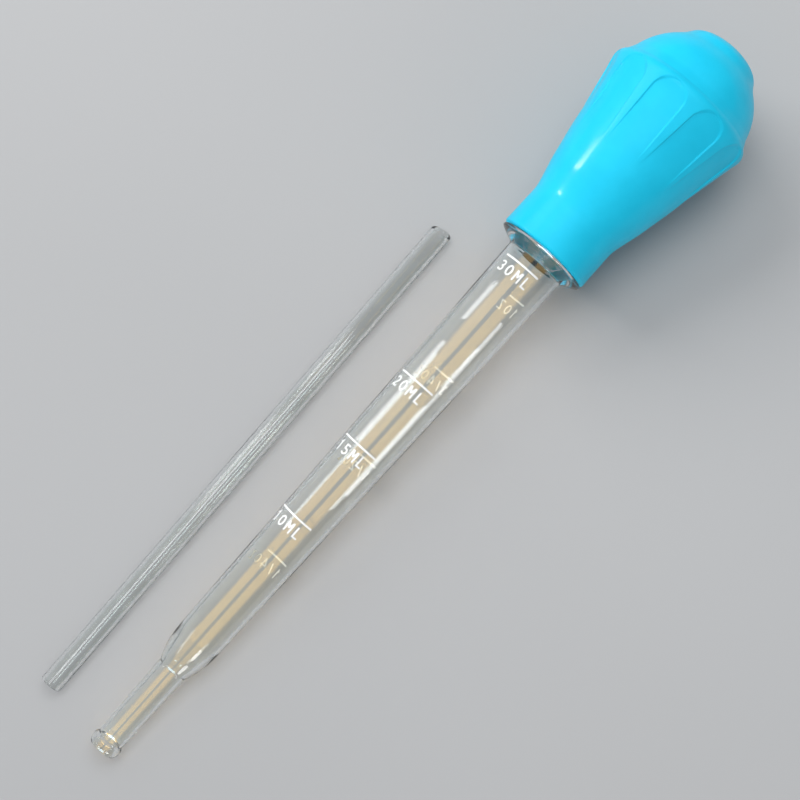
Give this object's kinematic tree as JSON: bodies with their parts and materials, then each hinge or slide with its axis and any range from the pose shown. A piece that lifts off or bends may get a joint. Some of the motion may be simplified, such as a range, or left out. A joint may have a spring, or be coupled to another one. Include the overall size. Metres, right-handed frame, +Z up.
{
  "type": "dropping pipette with filler bulb",
  "caption": "Graduated glass dropping pipette with a fluted rubber squeeze bulb on its flared neck, lying beside a loose straight glass tube.",
  "frame": {"origin": "centre of the overall box, on the bench top", "axes": "+X along the pipette from its nozzle towards the bulb's dome, +Z up off the bench, +Y towards the side where the loose tube lies; the pipette's own axis rises 4.36 degrees towards the bulb"},
  "size_m": [0.2858, 0.061, 0.0497],
  "materials": {
    "barrel_glass": "clear polished glass with flame-polished ends",
    "tube_glass": "clear glass tubing with flame-polished ends",
    "bulb_rubber": "satin moulded cyan-blue rubber",
    "enamel": "thin white enamel print"
  },
  "bodies": {
    "pipette": {"glass_barrel": "barrel_glass", "mark_10_ml": "enamel", "mark_15_ml": "enamel", "mark_20_ml": "enamel", "mark_30_ml": "enamel", "mark_quarter_oz": "enamel", "mark_half_oz": "enamel", "mark_three_quarter_oz": "enamel", "mark_one_oz": "enamel"},
    "bulb": {"rubber_bulb": "bulb_rubber"},
    "thumb_wall": {"squeeze_wall": "bulb_rubber"},
    "extension_tube": {"extension_tube": "tube_glass"}
  },
  "joints": [
    {"name": "bulb_pull_off", "type": "slide", "parent": "pipette", "child": "bulb", "axis": [0.9971, 0, 0.076], "range_m": [0, 0.03]},
    {"name": "bulb_squeeze", "type": "slide", "parent": "bulb", "child": "thumb_wall", "axis": [0.076, 0, -0.9971], "range_m": [0, 0.011], "stiffness_N_per_m": 900},
    {"name": "tube_lift_off", "type": "slide", "parent": "pipette", "child": "extension_tube", "axis": [0, 0, 1], "range_m": [0, 0.06]}
  ]
}
